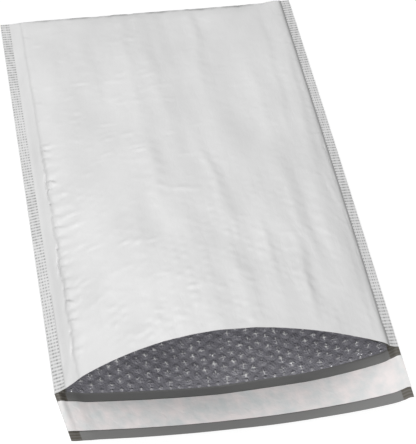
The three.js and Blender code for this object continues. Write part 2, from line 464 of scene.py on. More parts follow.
@dataclass(frozen=True)
class FilmRelief:
    """Folds and creases of the film over the bag's front wall."""

    form: BagForm
    pleats: tuple[Pleats, ...]
    ridges: Scatter = Scatter(
        41, 90, (-150, 165), (-10, 500), (25, 110), (4.5, 15), (0.25, 1.0), slant=0.05
    )
    creases: Scatter = Scatter(
        42, 170, (-150, 150), (14, 496), (4, 11), (2.0, 4.2), (0.2, 0.9), slant=0.12
    )
    tuck_seed: int = 43
    tuck_count: int = 34
    tuck_place: Span = (-0.9, 0.93)
    tuck_width: Span = (0.008, 0.022)
    tuck_height: Span = (-0.8, 0.5)
    bubble_seed: int = 44
    column_pitch: float = 10.25
    row_pitch: float = 10.8
    bubble_print: float = 1.3
    bubble_width: float = 3.6
    print_fade: Span = (60.0, 260.0)
    ridge_height: float = 1.15
    left_of: float = -60.0
    left_share: float = 0.75
    near_of: float = 240.0
    near_share: float = 1.7
    crease_shares: Span = (1.2, 0.5)
    seam_depth: float = 2.6
    seam_width: float = 1.2
    seam_calm: Span = (250.0, 330.0)
    seam_fade: Span = (240.0, 380.0)
    shoulder_reach: float = 24.0
    shoulder_bulge: float = 2.0
    bulge_rise: Span = (0.0, 26.0)
    bulge_fall: Span = (34.0, 90.0)
    end_fall: float = 2.6
    end_reach: float = 16.0
    end_lean: Span = (-0.75, -0.1)
    end_rise: Span = (20.0, 36.0)
    corner_fall: float = 1.8
    corner_reach: float = 62.0
    corner_lean: Span = (-0.2, 0.6)
    pad_rise: float = 14.0
    mouth_calm: Span = (0.005, 0.09)

    def long_folds(self, across: Array, along: Array) -> Array:
        """Long soft folds, each a bell curve across and along with a valley beside it.

        They run lengthwise with a small slant, and the film over them wavers as two
        sines. They are lower at the left and higher in the half near the mouth.

        Args:
            across: Distance from the bag's middle line.
            along: Distance from the mouth line.

        Returns:
            Heights, one for each place.
        """
        waver = 0.9 * np.sin(along / 2.7 + across / 19) + 1.6 * np.sin(along / 13 + across / 41)
        total = np.zeros_like(across)
        for x, y, reach, width, height, slant in self.ridges.draw():
            height *= self.left_share if x < self.left_of else 1.0
            height *= self.near_share if y < self.near_of else 1.0
            q = across + waver - x - slant * (along - y)
            fold = hump(q, width) - 0.6 * hump(q - 1.6 * width, 1.5 * width)
            total += height * fold * hump(along - y, reach)
        return self.ridge_height * total

    def bubbles(self, across: Array, along: Array) -> Array:
        """Print of the bubbles through the film, each a bell curve of its own height.

        Slow sines bring it out in patches, and it is stronger near the mouth.
        """
        rng = np.random.default_rng(self.bubble_seed)
        column = np.round(across / self.column_pitch)
        shift = (column % 2) * self.row_pitch / 2
        row = np.round((along - shift) / self.row_pitch)
        table = rng.uniform(0, 1, (64, 64))
        strength = table[column.astype(int) % len(table), row.astype(int) % len(table)]
        aside, ahead = across - column * self.column_pitch, along - shift - row * self.row_pitch
        dome = hump(np.hypot(aside, ahead), self.bubble_width)
        slow = np.sin(across / 23 + 1.3 + along / 61) * np.sin(along / 31 + across / 53)
        near_mouth = 0.4 + 0.6 * (1 - smooth(along, *self.print_fade))
        return self.bubble_print * strength * dome * (0.5 + 0.5 * slow) * near_mouth

    def short_creases(self, across: Array, along: Array) -> Array:
        """Scattered short crosswise creases, each a narrow ridge and a faint valley."""
        total = np.zeros_like(across)
        left, right = self.crease_shares
        for x, y, reach, width, height, slant in self.creases.draw():
            height *= left if x < 0 else right
            q = along - y - slant * (across - x)
            fold = hump(q, width) - 0.5 * hump(q + 2.4, width)
            total += height * hump(across - x, reach) * fold
        return total

    def seam_line(self, along: Array) -> Array:
        """Place of the pad's edge past the plain weld.

        It is straight far off and wavy near the mouth, where two sines are summed.
        """
        waves = 0.5 * np.sin(along / 2.9 + 1.4 * np.sin(along / 11)) + 0.9 * np.sin(along / 8.3 + 1)
        return waves * (1 - 0.8 * smooth(along, *self.seam_calm))

    def seam(self, inward: Array, along: Array) -> Array:
        """Wavy groove where the lining's pad begins: a bell curve across the edge."""
        depth = self.seam_depth * (0.65 + 0.35 * np.sin(along / 19 + 0.6))
        depth = depth * (1 - 0.55 * smooth(along, *self.seam_fade))
        return -depth * hump(inward - self.seam_line(along), self.seam_width)

    def shoulder(self, u: Array, v: Array) -> Array:
        """Rounded edge of the pad beside the right weld.

        The pad's thickness builds up as a quarter ellipse, steep at the crimp and flat
        further in, in place of the plain form's ramp.
        """
        form = self.form
        inward = form.edge(u) - form.parting(v)
        t = np.clip(inward / self.shoulder_reach, 0, 1)
        full = form.wall - form.film + form.clearance
        parted = smooth(inward, 0, form.spread)
        plain = (form.wall_depth(u) - form.film + form.clearance * parted) * parted
        round_over = full * np.sqrt(1 - (1 - t) ** 2) - plain
        bulge = smooth(inward, *self.bulge_rise) * (1 - smooth(inward, *self.bulge_fall))
        bulge = self.shoulder_bulge * bulge * smooth(v, 0, 0.3) * smooth(1 - v, 0, 0.2)
        return (round_over + bulge) * (u > 0) * smooth(v, 0, 0.04)

    def closed_end(self, u: Array, along: Array) -> Array:
        """Fall of the film towards the folded end, more to the right, with small tucks."""
        rng = np.random.default_rng(self.tuck_seed)
        left = self.form.length * self.form.nose_start - along
        near = np.clip(1 - left / self.end_reach, 0, 1) ** 2
        slope = np.clip(1 - left / self.corner_reach, 0, 1) ** 2
        amount = self.end_fall * (0.45 + 0.55 * smooth(u, *self.end_lean))
        sunk = self.corner_fall * slope * smooth(u, *self.corner_lean)
        tucks = np.zeros_like(u)
        for _ in range(self.tuck_count):
            at, width = rng.uniform(*self.tuck_place), rng.uniform(*self.tuck_width)
            tucks += rng.uniform(*self.tuck_height) * hump(u - at, width)
        return (near * (tucks - amount) - sunk) * smooth(self.form.edge(u), *self.end_rise)

    def height(self, u: Array, v: Array) -> Array:
        """All the relief of the front wall.

        Args:
            u: Place across, -1 to 1.
            v: Place along, 0 to 1.

        Returns:
            Heights over the plain form, in millimetres.
        """
        inward = self.form.edge(u) - self.form.seal(u)
        across, along = u * self.form.width / 2, v * self.form.length
        spots = (across, along)
        soft = self.long_folds(*spots) + self.bubbles(*spots) + self.short_creases(*spots)
        to_nose = smooth(self.form.nose_start - v, 0, 0.02)
        ends = smooth(v, 0, 0.03) * to_nose
        folds = sum(p.relief(u, inward, along) for p in self.pleats) + self.seam(inward, along)
        folds = folds * smooth(v, *self.mouth_calm) * to_nose
        pad = smooth(inward, 0, self.pad_rise)
        return pad * soft * (0.35 + 0.65 * ends) + folds + self.closed_end(u, along)


class Pattern(Enum):
    """Where a material's pattern is laid out."""

    FLAT = "the piece's own flat map, in metres"
    OBJECT = "the object's own coordinates, in metres"


@dataclass(frozen=True)
class Buckles:
    """The crossed creases in which each slack bubble's crown buckles, with painted glints along
    them.

    Sizes are in millimetres, and places are on the bubble's own map, which runs from 0
    to 1 over each one.
    """

    # White painted along the creases, standing in for glints of the lamps.
    colour: str = "#ffffff"
    depth: float = 0.4
    bend: float = 0.44
    bend_size: float = 4.0
    line: float = 0.72
    sharpness: float = 230.0
    second: float = 0.7
    crown: Span = (0.16, 0.4)
    gap_size: float = 5.0
    gaps: Span = (0.47, 0.58)

    def lines(self, tree: Tree, spot: Socket) -> Socket:
        """Height of the creases.

        A crease is a bell curve of the distance from one of the bubble's two lines,
        bent a little by noise, and both fade out from the crown to the rim.

        Args:
            tree: Node tree of the material.
            spot: Place of the pattern, in metres.

        Returns:
            Socket with heights from 0 to about 1.
        """
        own = add_node(tree, "ShaderNodeUVMap", {}, uv_map=FLAT_MAP).outputs["UV"]
        bend = noise(tree, spot, self.bend_size, Detail=1.0).outputs["Color"]
        inputs = {0: bend, 1: (self.bend, self.bend, 0), 2: own}
        bent = add_node(tree, "ShaderNodeVectorMath", inputs, operation="MULTIPLY_ADD").outputs[0]
        local = add_node(tree, "ShaderNodeSeparateXYZ", {0: bent})
        creases = []
        for axis in ("X", "Y"):
            away = calc(tree, "SUBTRACT", local.outputs[axis], self.line)
            fall = calc(tree, "MULTIPLY", calc(tree, "POWER", away, 2.0), -self.sharpness)
            creases.append(calc(tree, "EXPONENT", fall))
        both = calc(tree, "MULTIPLY_ADD", creases[1], self.second, creases[0])
        inputs = {0: own, 1: (0.5, 0.5, 0)}
        away = add_node(tree, "ShaderNodeVectorMath", inputs, operation="DISTANCE").outputs["Value"]
        crown = ramp(tree, away, self.crown, (1.0, 0.0), interpolation_type="SMOOTHSTEP")
        return calc(tree, "MULTIPLY", both, crown)

    def painted_glints(self, tree: Tree, spot: Socket, lines: Socket) -> Socket:
        """Share of painted glint white along the creases, which noise breaks up into short glints.
        """
        broken = noise(tree, spot, self.gap_size, Detail=3.0, Roughness=0.85).outputs["Fac"]
        kept = ramp(tree, broken, self.gaps, interpolation_type="SMOOTHSTEP")
        return calc(tree, "MULTIPLY", lines, kept)


@dataclass(frozen=True)
class Finish:
    """A plastic or coated finish: two tones, gloss and two sizes of fine relief.

    Sizes and depths of the patterns are in millimetres. The stretch scales the map
    that they are laid out on, and pressed is the tone where a weld presses deep; on the
    white film and its crimp it also stands for painted shade in creases, pits and the
    folded end. Buckles adds painted glints along the bubbles' creases.
    that they are laid out on, and pressed is the tone where a weld presses deep.
    """

    name: str
    colour: str
    shade: str
    roughness: float
    ior: float = 1.51
    patch: float = 30.0
    tones: Span = (0.34, 0.66)
    coarse: float = 9.0
    coarse_depth: float = 0.10
    fine: float = 2.6
    fine_depth: float = 0.03
    stretch: Span = (1.0, 1.0)
    pattern: Pattern = Pattern.FLAT
    pressed: str = ""
    buckles: Buckles | None = None

    @cache
    def material(self) -> bpy.types.Material:
        """Build the material, once for all the pieces that have it.

        Colour is a slow mix of two near tones. The relief is two noises, a coarse one
        for soft crinkles and a fine one for the film's own grain. A weld's print brings
        in a third tone where it presses deep, which on the white film is also painted
        shade, and white is painted along buckled creases as glints.

        Returns:
            The node material.
        """
        made, tree = new_material(self.name)
        if self.pattern is Pattern.FLAT:
            source = add_node(tree, "ShaderNodeUVMap", {}, uv_map=FLAT_MAP).outputs["UV"]
        else:
            source = add_node(tree, "ShaderNodeTexCoord", {}).outputs["Object"]
        inputs = {"Vector": source, "Scale": (*self.stretch, 1)}
        spot = add_node(tree, "ShaderNodeMapping", inputs).outputs["Vector"]
        share = ramp(tree, noise(tree, spot, self.patch, Detail=3.0).outputs["Fac"], self.tones)
        toned = blend(tree, share, linear(self.colour), linear(self.shade))
        if self.pressed:
            # Pressed tone: the weld's print, and on the front film painted shade in creases and at
            # the folded end.
            depth = add_node(tree, "ShaderNodeAttribute", {}, attribute_name=PRESS_AND_SHADE).outputs["Fac"]
            toned = blend(tree, depth, toned, linear(self.pressed))
        coarse = noise(tree, spot, self.coarse, Detail=2.0, Distortion=0.6).outputs["Fac"]
        fine = noise(tree, spot, self.fine, Detail=2.0).outputs["Fac"]
        normal = bump(tree, fine, self.fine_depth, bump(tree, coarse, self.coarse_depth))
        if self.buckles:
            lines = self.buckles.lines(tree, spot)
            # Painted glints: white mixed into the colour along the creases.
            painted_glints = self.buckles.painted_glints(tree, spot, lines)
            toned = blend(tree, painted_glints, toned, linear(self.buckles.colour))
            normal = bump(tree, lines, self.buckles.depth, normal)
        look = {"Roughness": self.roughness, "IOR": self.ior}
        inputs = {"Base Color": toned, "Normal": normal, **look}
        shader = add_node(tree, "ShaderNodeBsdfPrincipled", inputs)
        add_node(tree, "ShaderNodeOutputMaterial", {"Surface": shader.outputs["BSDF"]})
        return made


# Blown low-density polyethylene, white side out: satin, with soft crinkles from
# handling and a faint grain from blowing. Its pressed grey is painted shade in the
# creases beside the welds and over the folded end.
WHITE_FILM = Finish(
    "blown_pe_film_white",
    "#e9e9e9",
    "#dfdfdf",
    0.42,
    patch=52.0,
    stretch=(1.0, 0.5),
    coarse=12.0,
    coarse_depth=0.55,
    fine_depth=0.06,
    pressed="#6e6e6e",
)
# The same web's inner side is pigmented grey so that nothing shows through.
GREY_FILM = Finish(
    "blown_pe_film_grey",
    "#7d7d7c",
    "#757574",
    0.45,
    stretch=(0.15, 1.0),
    coarse=7.0,
    coarse_depth=0.06,
)
# Pressed weld: the film is squeezed thin at each tooth and its grey side shows through; on the
# white side the dark pressed tone is also painted shade in the pits.
CRIMPED_WHITE = Finish("heat_crimped_pe_white", "#eaeaea", "#e0e0e0", 0.45, pressed="#8b8b8b")
CRIMPED_GREY = replace(GREY_FILM, name="heat_crimped_pe_grey", pressed="#4c473d")
# Air-bubble film: glossy tinted polyethylene, slack on each bubble's crown, with glints painted
# white along the crowns' creases.
BUBBLE_FILM = Finish(
    "thermoformed_bubble_film",
    "#939299",
    "#86858c",
    0.15,
    ior=1.85,
    coarse=2.2,
    coarse_depth=0.65,
    fine=1.1,
    fine_depth=0.4,
    buckles=Buckles(),
    pattern=Pattern.OBJECT,
)
# Silicone-coated strip: white, faintly warm, crinkled and smooth to the touch.
LINER_STRIP = Finish(
    "silicone_coated_strip", "#efe8e7", "#dadddd", 0.5, patch=16.0, coarse=7.0, coarse_depth=0.35
)
# Hot-melt adhesive: clear straw-coloured, laid as a wet stripe.
HOT_MELT = Finish(
    "hot_melt_adhesive", "#d9d0b4", "#cfc5a4", 0.25, coarse=6.0, coarse_depth=0.15
)


@dataclass(frozen=True)
class Frame:
    """Turns the shape's millimetres, from the mouth line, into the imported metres."""

    mouth_y: float

    def place(self, points: Array) -> Array:
        """Points in metres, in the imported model's frame."""
        return (points + np.array([0.0, self.mouth_y, 0.0])) * MM


def make_object(
    name: str, points: Array, faces: list[Array], materials: list, slots: Array, places: Array
) -> Piece:
    """Put points and faces into a mesh object at the origin.

    Args:
        name: Name of the piece.
        points: Corners, in metres.
        faces: Arrays of faces, each with its own count of corners a face.
        materials: Materials of the piece.
        slots: Material number of each face, in the order of the faces.
        places: Place on the flat map of each corner of each face in turn.

    Returns:
        The new object, smooth shaded with sharp rims.
    """
    mesh = bpy.data.meshes.new(name)
    corners = np.concatenate([f.ravel() for f in faces])
    sizes = np.concatenate([np.full(len(f), f.shape[1]) for f in faces])
    starts = np.concatenate([[0], np.cumsum(sizes)[:-1]])
    mesh.vertices.add(len(points))
    mesh.vertices.foreach_set("co", points.astype(np.float32).ravel())
    mesh.loops.add(len(corners))
    mesh.loops.foreach_set("vertex_index", corners.astype(np.int32))
    mesh.polygons.add(len(sizes))
    mesh.polygons.foreach_set("loop_start", starts.astype(np.int32))
    mesh.polygons.foreach_set("material_index", slots.astype(np.int32))
    mesh.polygons.foreach_set("use_smooth", np.ones(len(sizes), bool))
    mesh.update(calc_edges=True)
    mesh.validate()
    mesh.set_sharp_from_angle(angle=SHARP_RIM)
    for material in materials:
        mesh.materials.append(material)
    piece = link(name, mesh)
    layer = mesh.uv_layers.new(name=FLAT_MAP)
    layer.data.foreach_set("uv", places.astype(np.float32).ravel())
    return piece


def declare(piece: Piece, role: Role) -> Piece:
    """Let a piece ride on the body and stand for its node, whose own part is hidden."""
    node, slot = role.value
    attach(piece, BODY)
    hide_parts(node)
    LOG.info("%s: %d faces for %s", piece.name, len(piece.data.polygons), node)
    return piece


def grid_faces(rows: int, columns: int, first: int, flip: bool) -> Array:
    """Four-sided faces of a grid of points, turned over where flip is set."""
    index = first + np.arange(rows * columns).reshape(rows, columns)
    a, b, c, d = index[:-1, :-1], index[:-1, 1:], index[1:, 1:], index[1:, :-1]
    order = (a, d, c, b) if flip else (a, b, c, d)
    return np.stack(order, -1).reshape(-1, 4)


def rim_faces(rows: int, columns: int) -> Array:
    """Faces that join the rims of two equal grids, the upper one first."""
    index = np.arange(rows * columns).reshape(rows, columns)
    loop = np.concatenate([index[0, :-1], index[:-1, -1], index[-1, :0:-1], index[:0:-1, 0]])
    after = np.roll(loop, -1)
    below = rows * columns
    return np.stack([loop, loop + below, after + below, after], -1)


def closed_sheet(
    name: str,
    role: Role,
    place: Frame,
    grids: tuple[Array, Array],
    flat: Array,
    finishes: tuple[Finish, ...],
    press_and_shade: Array | None = None,
) -> Piece:
    """Make and declare a thin closed sheet between an upper and a lower grid of points.

    Args:
        name: Name of the piece.
        role: What it stands for.
        place: Frame that the points are put into.
        grids: Points of the face that looks up and of the one that looks down, each
            rows by columns by three, in millimetres.
        flat: Place of each point on the flat film, rows by columns by two, in metres.
        finishes: Finish of the upper face, then of the lower face and the rim.
        press_and_shade: Depth of the weld's print at each point, from 0 to 1; on the front film,
            the strength of the painted shade along its creases and its folded end.

    Returns:
        The new piece.
    """
    rows, columns = grids[0].shape[:2]
    top = grid_faces(rows, columns, 0, False)
    under = grid_faces(rows, columns, rows * columns, True)
    faces = np.concatenate([top, under, rim_faces(rows, columns)])
    slots = np.minimum(np.arange(len(faces)) >= len(top), len(finishes) - 1)
    points = place.place(np.concatenate([grid.reshape(-1, 3) for grid in grids]))
    materials = [finish.material() for finish in finishes]
    places = np.concatenate([flat.reshape(-1, 2)] * 2)[faces.ravel()]
    piece = make_object(name, points, [faces], materials, slots, places)
    if press_and_shade is not None:
        depth = piece.data.attributes.new(PRESS_AND_SHADE, "FLOAT", "POINT")
        depth.data.foreach_set("value", np.concatenate([press_and_shade.ravel()] * 2).astype(np.float32))
    return declare(piece, role)


def ribs(along: Array) -> Array:
    """Crosswise ribs of the sealing jaw, a cosine along that stays from 0.55 to 1."""
    return 0.775 + 0.225 * np.cos(2 * np.pi * along / RIB_PITCH)


@dataclass
class FilmWeb:
    """The folded web of outer film between the crimps: front wall, nose and back wall.

    Each shade pair is the strength of the shade painted into the front film's colour
    along a crease or over the folded end, and the width over which it lies.
    """

    form: BagForm
    relief: FilmRelief
    place: Frame
    thickness: float = 0.25
    row_step: float = 2.1
    back_row_step: float = 6.0
    nose_rows: int = 12
    fine_steps: tuple = ((11.0, 20.0, 1.3), (20.0, 31.0, 1.0))
    middle_step: float = 2.15
    seam_shade: Span = (0.13, 1.3)
    crimp_edge_shade: Span = (0.75, 2.4)
    fold_shade: Span = (0.9, 3.4)
    fused_grey: float = 0.01

    def columns(self) -> Array:
        """Places across, close together at the crease and wider over the middle."""
        middle = self.form.width / 2
        near, far = (np.arange(start, stop, step) for start, stop, step in self.fine_steps)
        wide = np.arange(far[-1] + self.middle_step, middle - 1, self.middle_step)
        left = np.concatenate([near, far, wide]) / middle - 1
        return np.concatenate([left, -left[::-1]])

    def wall_rows(self, v: Array, wall: Wall, depth: float) -> Array:
        """One wall's points, sunk into the bag by a depth.

        Args:
            v: Places along the bag.
            wall: Front or back.
            depth: How far below the outer face.

        Returns:
            Rows of points, in millimetres.
        """
        u, v = np.meshgrid(self.columns(), v)
        folds = self.relief.height(u, v) if wall is Wall.FRONT else 0.0
        rows = self.form.point(u, v, wall, folds)
        if wall is Wall.FRONT:
            rows[..., 2] += self.relief.shoulder(u, v)
        rows[..., 2] -= wall.value * depth
        return rows

    def front_rows(self, v: Array, angles: Array, depth: float) -> Array:
        """Points of the front wall and the nose, sunk into the bag by a depth."""
        end = np.array([self.form.nose_start])
        tips = (self.wall_rows(end, wall, depth) for wall in Wall)
        nose = self.form.nose(*tips, angles, depth)
        return np.concatenate([self.wall_rows(v, Wall.FRONT, depth), nose])

    def painted_crease_shade(self, distances: Array) -> Array:
        """Painted shade in the front film's colour, along its creases and over the folded end.

        It is a bell curve over the pad's seam at the left and over the crimp's inner edge
        at the right, where shade falls in the creases, and over the middle of the folded
        end, which turns away from the lamps; a faint even grey lies over the plain weld.

        Args:
            distances: Distance of each row from the mouth line, over the film.

        Returns:
            Shares from 0 to 1, rows by columns.
        """
        u, along = np.meshgrid(self.columns(), distances)
        edge = self.form.edge(u)
        inward = edge - self.form.seal(u)
        # Painted shade in the crease along the pad's seam at the left.
        share, width = self.seam_shade
        seam = share * hump(inward - self.relief.seam_line(along), width) * (u < 0)
        # Painted shade in the crease beside the right crimp.
        share, width = self.crimp_edge_shade
        crimped = share * hump(edge - self.form.crimp - width / 2, width) * (u > 0)
        # Painted shade along the folded end, which turns away from the lamps.
        share, width = self.fold_shade
        uneven = 0.6 + 0.25 * np.sin(23 * u) + 0.15 * np.sin(71 * u + 1)
        fold = share * hump(along - self.form.length + 1.5, width) * smooth(edge, 24, 60) * uneven
        fused = self.fused_grey * (1 - smooth(inward, -3, 1)) * (u < 0)
        return np.clip(seam + crimped + fold + fused, 0, 1)

    def cut(self, wall: Wall) -> Span:
        """Flat width and length of a wall between the crimps, the fold with the front."""
        fold = math.pi * self.form.nose_radius if wall is Wall.FRONT else 0.0
        return (self.form.width - 2 * self.form.crimp) * MM, (self.form.length + fold) * MM

    def flat(self, distances: Array) -> Array:
        """Place of each point on the flat web, in metres."""
        return self.form.flat_place(*np.meshgrid(self.columns(), distances))

    def rows(self, step: float) -> Array:
        """Places along the bag up to the nose, about a step apart."""
        return np.linspace(0, self.form.nose_start, round(self.form.length / step))

    def build(self) -> list[Piece]:
        """Make the front wall with the nose, and the back wall.

        Returns:
            The two pieces.
        """
        v = self.rows(self.row_step)
        angles = np.linspace(0, np.pi, self.nose_rows + 1)[1:]
        grids = [self.front_rows(v, angles, depth) for depth in (0, self.thickness)]
        length, radius = self.form.length, self.form.nose_radius
        distances = np.concatenate([v * length, length + radius * (angles - 1)])
        # The front film's press attribute gets painted shade along its creases and folded end.
        flat, painted_crease_shade = self.flat(distances), self.painted_crease_shade(distances)
        finishes = (WHITE_FILM, GREY_FILM)
        front = closed_sheet("front_film", Role.FILM, self.place, grids, flat, finishes, painted_crease_shade)
        v = self.rows(self.back_row_step)
        grids = [self.wall_rows(v, Wall.BACK, depth) for depth in (self.thickness, 0)]
        flat = self.flat(v * length)
        back = closed_sheet("back_film", Role.FILM, self.place, grids, flat, finishes[::-1])
        return [front, back]


@dataclass
class SideWeld:
    """One crimped side weld with its rows of pressed teeth.

    The real jaw's teeth are about 2.1 mm apart, too fine to show in the render, so
    they are drawn as coarse as they need to be.
    """

    form: BagForm
    place: Frame
    side: Side
    column_pitch: float = 2.85
    row_pitch: float = 3.9
    row_slant: float = 0.08
    pit: Span = (0.2, 0.95)
    tooth_depth: float = 0.24
    layer: float = 0.28
    step: float = 0.62
    unevenness: float = 0.25
    # Even share of the pressed tone over the front crimp's lands as well as its pits.
    ground_share: float = 0.05

    def teeth(self, edge: Array, along: Array) -> Array:
        """Print of the sealing jaw, from 0 on the lands to 1 in a pit.

        Pits stand in rows, a cosine along, and in columns, a cosine across, which run
        together into bars here and there. The print thins out as slow sines of both
        distances, where the jaw pressed less.

        Args:
            edge: Distance from the outer edge.
            along: Distance from the mouth line.

        Returns:
            The depth of the print at each point.
        """
        across = 0.5 + 0.5 * np.cos(2 * np.pi * (edge / self.column_pitch - 0.5))
        rows = 0.5 + 0.5 * np.cos(2 * np.pi * (along + self.row_slant * edge) / self.row_pitch)
        bars = 0.5 + 0.5 * np.sin(along / 37 + 2)
        pits = rows * (across + (1 - across) * (0.3 + 0.45 * bars))
        beat = 1 - np.sin(along / 5.3 + 1.7 * np.sin(along / 23) + 0.9 * edge)
        force = 1 - self.unevenness * beat * (1 - 0.4 * np.sin(along / 3.1 - 1.3 * edge))
        return smooth(pits, *self.pit) * force * smooth(edge, 0.2, 1.2)

    def build(self, wall: Wall) -> Piece:
        """Make one layer of the weld.

        Args:
            wall: The wall that the layer belongs to.

        Returns:
            The piece.
        """
        edges = np.linspace(0, self.form.crimp, round(self.form.crimp / self.step) + 1)
        u = self.side.value * (1 - edges / (self.form.width / 2))
        if self.side is Side.RIGHT:
            u = u[::-1]
        v = np.linspace(0, 1, round(self.form.length / self.step) + 1)
        u, v = np.meshgrid(u, v)
        along = v * self.form.length
        dent = self.teeth(self.form.edge(u), along)
        outer = self.form.point(u, v, wall)
        inner = outer.copy()
        inner[..., 2] -= wall.value * self.layer
        outer[..., 2] += wall.value * self.tooth_depth * (0.5 - dent)
        if wall is Wall.FRONT:
            grids, finishes = (outer, inner), (CRIMPED_WHITE, GREY_FILM)
            # Front crimp tone: the grey side showing through the thinned film, and painted shade in
            # the pits.
            dent = self.ground_share + (1 - self.ground_share) * dent
        else:
            grids, finishes = (inner, outer), (CRIMPED_GREY, CRIMPED_WHITE)
            dent = ribs(along)
        name = f"{self.side.name.lower()}_crimp_{wall.name.lower()}"
        flat = self.form.flat_place(u, along)
        return closed_sheet(name, Role.FILM, self.place, grids, flat, finishes, dent)


@dataclass
class Flap:
    """The uncovered flap: white underneath, grey above, crimped at both ends."""

    form: BagForm
    place: Frame
    thickness: float = 0.3
    rib_depth: float = 0.35
    row_step: float = 0.7
    crimp_step: float = 0.75
    middle_step: float = 2.4
    fine_reach: float = 12.5

    def build(self) -> Piece:
        """Make the flap.

        Returns:
            The piece.
        """
        middle = self.form.width / 2
        near = np.arange(0, self.fine_reach, self.crimp_step)
        left = np.concatenate([near, np.arange(self.fine_reach, middle, self.middle_step)])
        left = left / middle - 1
        count = round(self.form.flap / self.row_step) + 1
        rows = np.linspace(0, self.form.flap, count)[::-1]
        u, distance = np.meshgrid(np.concatenate([left, -left[::-1]]), rows)
        patch = 1 - smooth(self.form.edge(u), self.form.crimp - 0.6, self.form.crimp + 0.4)
        pressed = ribs(distance) * patch
        lower = self.form.flap_point(u, distance)
        upper = lower.copy()
        upper[..., 2] += self.thickness - self.rib_depth * (pressed - 0.5 * patch)
        flat = self.form.flat_place(u, -distance)
        finishes = (CRIMPED_GREY, WHITE_FILM)
        grids = (upper, lower)
        return closed_sheet("flap_film", Role.FILM, self.place, grids, flat, finishes, pressed)


@dataclass
class CoverStrip:
    """The strip that covers the adhesive, as long as the flap is wide."""

    form: BagForm
    place: Frame
    start: float = 9.0
    width: float = 32.0
    lift: float = 1.1
    thickness: float = 0.2
    step: float = 1.1
    seed: int = 7
    waves: int = 26
    wavelength: Span = (11.0, 34.0)
    crinkle_height: float = 0.06

    def crinkle(self, across: Array, along: Array) -> Array:
        """Soft crinkles: random waves that run at all angles over the strip.

        The height is the size of their sum, to the power 0.8.

        Args:
            across: Distance along the flap's width.
            along: Distance from the mouth line.

        Returns:
            Heights, never below 0.
        """
        rng = np.random.default_rng(self.seed)
        total = np.zeros_like(across)
        for _ in range(self.waves):
            wave, angle = rng.uniform(*self.wavelength), rng.uniform(0, np.pi)
            phase = 2 * np.pi * (across * math.cos(angle) + along * math.sin(angle)) / wave
            total += np.cos(phase + rng.uniform(0, 6)) * wave / 30
        return self.crinkle_height * np.abs(total) ** 0.8

    def build(self) -> Piece:
        """Make the strip.

        Returns:
            The piece.
        """
        u = np.linspace(-1, 1, round(self.form.width / self.step) + 1)
        count = round(self.width / self.step) + 1
        rows = np.linspace(self.start, self.start + self.width, count)[::-1]
        u, distance = np.meshgrid(u, rows)
        lower = self.form.flap_point(u, distance)
        lower[..., 2] += self.lift + self.crinkle(u * self.form.width / 2, distance)
        upper = lower + np.array([0, 0, self.thickness])
        flat = self.form.flat_place(u, distance)
        grids = (upper, lower)
        return closed_sheet("release_strip", Role.COVER, self.place, grids, flat, (LINER_STRIP,))


@dataclass
class AdhesiveStripe:
    """The hot-melt stripe between the flap and its cover strip, with rounded rims."""

    form: BagForm
    place: Frame
    middle: float = 25.0
    width: float = 18.0
    lift: float = 0.62
    thickness: float = 0.3
    inset: float = 0.6
    columns: int = 240
    rows: int = 13

    def build(self) -> Piece:
        """Make the stripe.

        Returns:
            The piece.
        """
        end = 1 - 2 * self.inset / self.form.width
        across = np.linspace(self.width / 2, -self.width / 2, self.rows)
        u, offset = np.meshgrid(np.linspace(-end, end, self.columns), across)
        lower = self.form.flap_point(u, self.middle + offset)
        lower[..., 2] += self.lift
        upper = lower.copy()
        upper[..., 2] += self.thickness * (1 - 0.7 * (2 * offset / self.width) ** 6)
        flat = self.form.flat_place(u, self.middle + offset)
        grids = (upper, lower)
        return closed_sheet("adhesive_stripe", Role.ADHESIVE, self.place, grids, flat, (HOT_MELT,))


